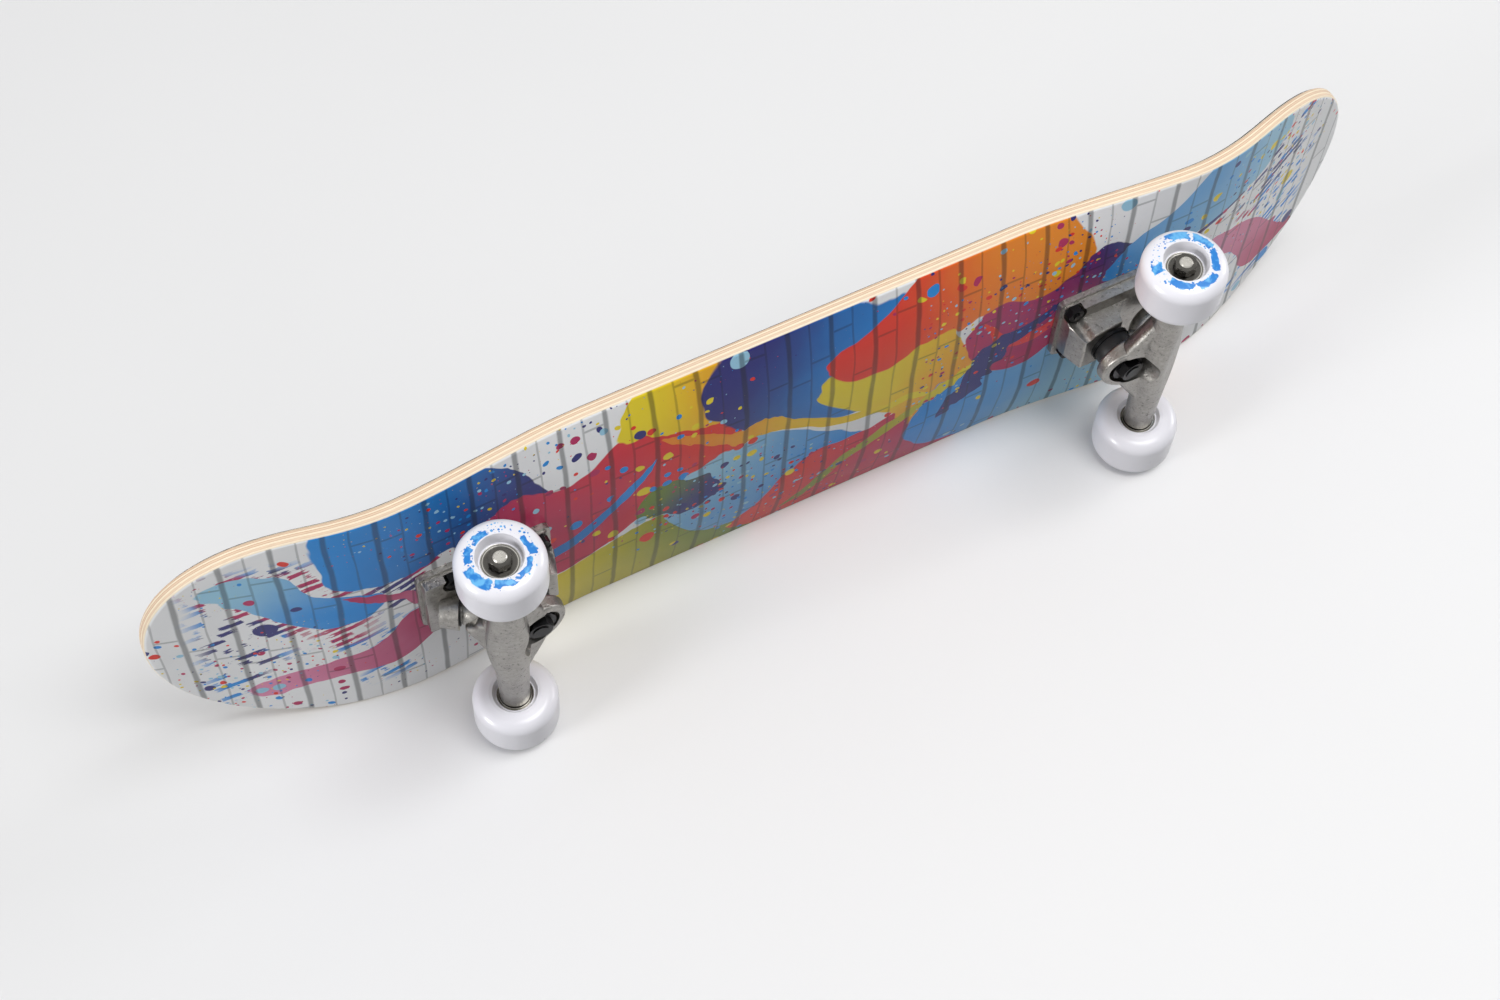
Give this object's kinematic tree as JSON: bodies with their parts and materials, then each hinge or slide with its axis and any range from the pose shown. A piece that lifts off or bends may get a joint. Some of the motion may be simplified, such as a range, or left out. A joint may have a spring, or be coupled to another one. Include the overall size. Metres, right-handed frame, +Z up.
{
  "type": "skateboard",
  "caption": "Street skateboard: pressed maple deck with kicked nose and tail and side concave, grip sheet, two sprung leaning trucks and white wheels on ball bearings.",
  "frame": {"origin": "on the floor under the middle of the deck, with all four wheels standing on the floor", "axes": "+X towards the nose, +Y to the rider's left, +Z up"},
  "size_m": [0.8, 0.21, 0.1242],
  "materials": {
    "maple": "gloss",
    "grip": "rough",
    "cast_metal": "satin",
    "black_steel": "satin",
    "dark_steel": "gloss",
    "bright_steel": "satin",
    "black_rubber": "satin",
    "white_urethane": "gloss",
    "cage_plastic": "satin"
  },
  "bodies": {
    "board": {"deck": "maple", "grip_tape": "grip", "front_mounting_bolts": "black_steel", "front_lock_nuts": "black_steel", "front_baseplate": "cast_metal", "front_pivot_cup": "black_rubber", "front_kingpin": "black_steel", "front_kingpin_nut": "black_steel", "front_board_washer": "black_steel", "front_board_bushing": "black_rubber", "front_road_bushing": "black_rubber", "front_road_washer": "black_steel", "rear_mounting_bolts": "black_steel", "rear_lock_nuts": "black_steel", "rear_baseplate": "cast_metal", "rear_pivot_cup": "black_rubber", "rear_kingpin": "black_steel", "rear_kingpin_nut": "black_steel", "rear_board_washer": "black_steel", "rear_board_bushing": "black_rubber", "rear_road_bushing": "black_rubber", "rear_road_washer": "black_steel"},
    "front hanger": {"front_hanger": "cast_metal", "front_axle": "bright_steel", "front_axle_nuts": "dark_steel", "front_speed_washers": "bright_steel", "front_left_bearing_inner_rings": "bright_steel", "front_left_bearing_spacer": "bright_steel", "front_right_bearing_inner_rings": "bright_steel", "front_right_bearing_spacer": "bright_steel"},
    "front left wheel": {"front_left_wheel": "white_urethane", "front_left_bearing_outer_rings": "bright_steel", "front_left_bearing_balls": "bright_steel", "front_left_bearing_cages": "cage_plastic", "front_left_bearing_shields": "dark_steel"},
    "front right wheel": {"front_right_wheel": "white_urethane", "front_right_bearing_outer_rings": "bright_steel", "front_right_bearing_balls": "bright_steel", "front_right_bearing_cages": "cage_plastic", "front_right_bearing_shields": "dark_steel"},
    "rear hanger": {"rear_hanger": "cast_metal", "rear_axle": "bright_steel", "rear_axle_nuts": "dark_steel", "rear_speed_washers": "bright_steel", "rear_left_bearing_inner_rings": "bright_steel", "rear_left_bearing_spacer": "bright_steel", "rear_right_bearing_inner_rings": "bright_steel", "rear_right_bearing_spacer": "bright_steel"},
    "rear left wheel": {"rear_left_wheel": "white_urethane", "rear_left_bearing_outer_rings": "bright_steel", "rear_left_bearing_balls": "bright_steel", "rear_left_bearing_cages": "cage_plastic", "rear_left_bearing_shields": "dark_steel"},
    "rear right wheel": {"rear_right_wheel": "white_urethane", "rear_right_bearing_outer_rings": "bright_steel", "rear_right_bearing_balls": "bright_steel", "rear_right_bearing_cages": "cage_plastic", "rear_right_bearing_shields": "dark_steel"}
  },
  "joints": [
    {"name": "front truck lean", "type": "hinge", "parent": "board", "child": "front hanger", "pos_m": [0.1944, 0, 0.0347], "axis": [0.891, 0, 0.454], "range_deg": [-12, 12], "stiffness_Nm_per_rad": 40, "deforming": ["front_board_bushing", "front_road_bushing"]},
    {"name": "front left wheel spin", "type": "hinge", "parent": "front hanger", "child": "front left wheel", "pos_m": [0.214, 0, 0.0255], "axis": [0, 1, 0], "continuous": true},
    {"name": "front right wheel spin", "type": "hinge", "parent": "front hanger", "child": "front right wheel", "pos_m": [0.214, 0, 0.0255], "axis": [0, 1, 0], "continuous": true},
    {"name": "rear truck lean", "type": "hinge", "parent": "board", "child": "rear hanger", "pos_m": [-0.1944, 0, 0.0347], "axis": [-0.891, 0, 0.454], "range_deg": [-12, 12], "stiffness_Nm_per_rad": 40, "deforming": ["rear_board_bushing", "rear_road_bushing"]},
    {"name": "rear left wheel spin", "type": "hinge", "parent": "rear hanger", "child": "rear left wheel", "pos_m": [-0.214, 0, 0.0255], "axis": [0, 1, 0], "continuous": true},
    {"name": "rear right wheel spin", "type": "hinge", "parent": "rear hanger", "child": "rear right wheel", "pos_m": [-0.214, 0, 0.0255], "axis": [0, 1, 0], "continuous": true}
  ]
}
